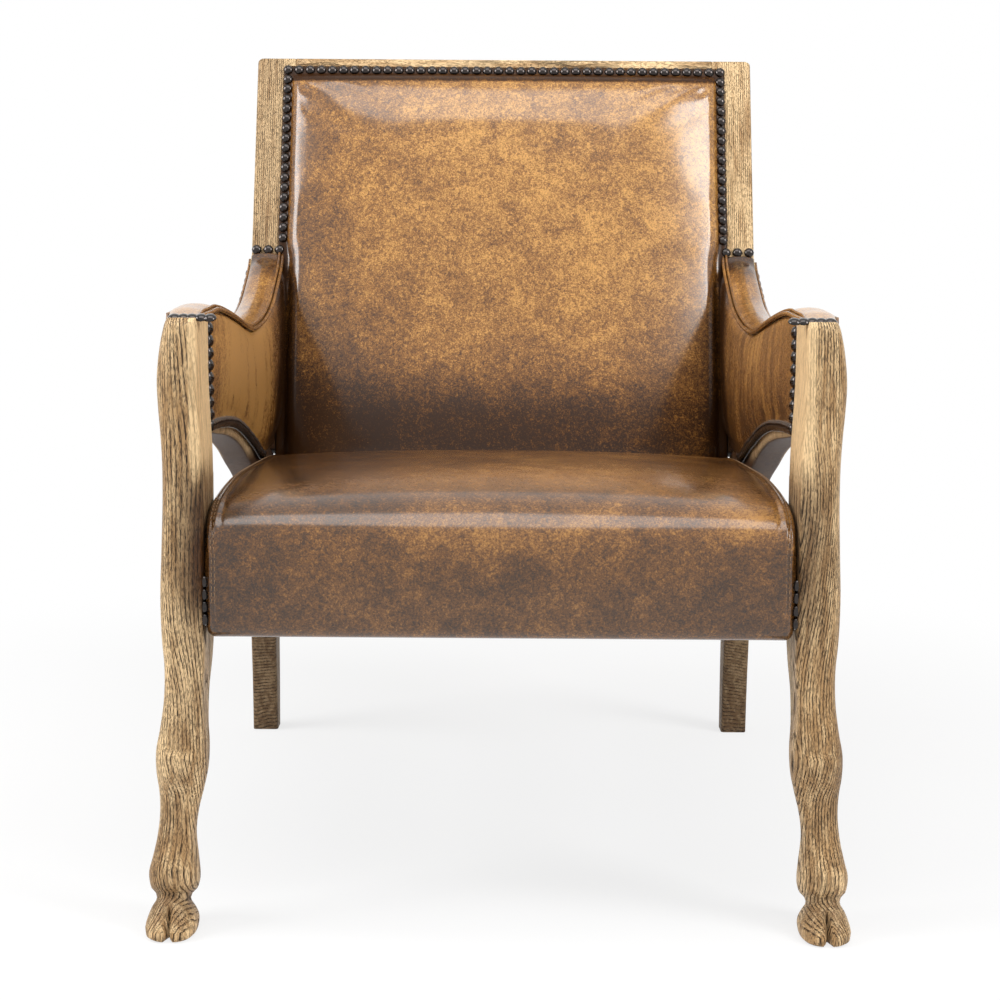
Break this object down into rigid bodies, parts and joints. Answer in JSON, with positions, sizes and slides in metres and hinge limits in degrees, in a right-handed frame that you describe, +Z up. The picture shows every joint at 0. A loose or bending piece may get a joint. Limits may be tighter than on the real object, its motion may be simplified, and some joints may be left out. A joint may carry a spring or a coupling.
{
  "type": "open armchair",
  "caption": "Open armchair with carved cloven-hoof oak front legs, sabre rear legs, raked frame back and nailed leather seat, back and arms.",
  "frame": {"origin": "on the floor, under the middle of the bounding box", "axes": "+Z up, +X to the right of someone who looks at the chair from the front, and the sitter looks along -Y"},
  "size_m": [0.7274, 0.862, 0.9463],
  "materials": {
    "oak": "wire-brushed, waxed, open dark grain",
    "frame_wood": "planed, hidden",
    "leather": "waxed pull-up, semi-gloss",
    "bronze": "dark antique bronze, polished domes",
    "jute": "woven, matt",
    "foam": "matt",
    "black_cloth": "matt"
  },
  "bodies": {
    "root": {"front_leg_left": "oak", "rear_leg_left": "oak", "arm_rail_left": "frame_wood", "arm_pad_left": "leather", "arm_welt_left": "leather", "inside_arm_left": "leather", "outside_arm_left": "leather", "nails_arm_front_left": "bronze", "nails_inside_arm_left": "bronze", "nails_outside_arm_left": "bronze", "nails_seat_left": "bronze", "side_seat_rail_left": "frame_wood", "corner_block_front_left": "frame_wood", "corner_block_rear_left": "frame_wood", "back_stile_left": "oak", "nails_stile_left": "bronze", "front_leg_right": "oak", "rear_leg_right": "oak", "arm_rail_right": "frame_wood", "arm_pad_right": "leather", "arm_welt_right": "leather", "inside_arm_right": "leather", "outside_arm_right": "leather", "nails_arm_front_right": "bronze", "nails_inside_arm_right": "bronze", "nails_outside_arm_right": "bronze", "nails_seat_right": "bronze", "side_seat_rail_right": "frame_wood", "corner_block_front_right": "frame_wood", "corner_block_rear_right": "frame_wood", "back_stile_right": "oak", "nails_stile_right": "bronze", "front_seat_rail": "frame_wood", "rear_seat_rail": "frame_wood", "seat_webbing_long_1": "jute", "seat_webbing_long_2": "jute", "seat_webbing_long_3": "jute", "seat_webbing_long_4": "jute", "seat_webbing_cross_1": "jute", "seat_webbing_cross_2": "jute", "seat_webbing_cross_3": "jute", "seat_webbing_cross_4": "jute", "seat_foam": "foam", "seat_cover": "leather", "rear_border": "leather", "dust_cover": "black_cloth", "top_rail": "oak", "lower_back_rail": "frame_wood", "back_webbing_1": "jute", "back_webbing_2": "jute", "back_webbing_3": "jute", "back_foam": "foam", "back_cover": "leather", "nails_back": "bronze", "outside_back": "leather", "nails_outside_back": "bronze"}
  },
  "joints": []
}
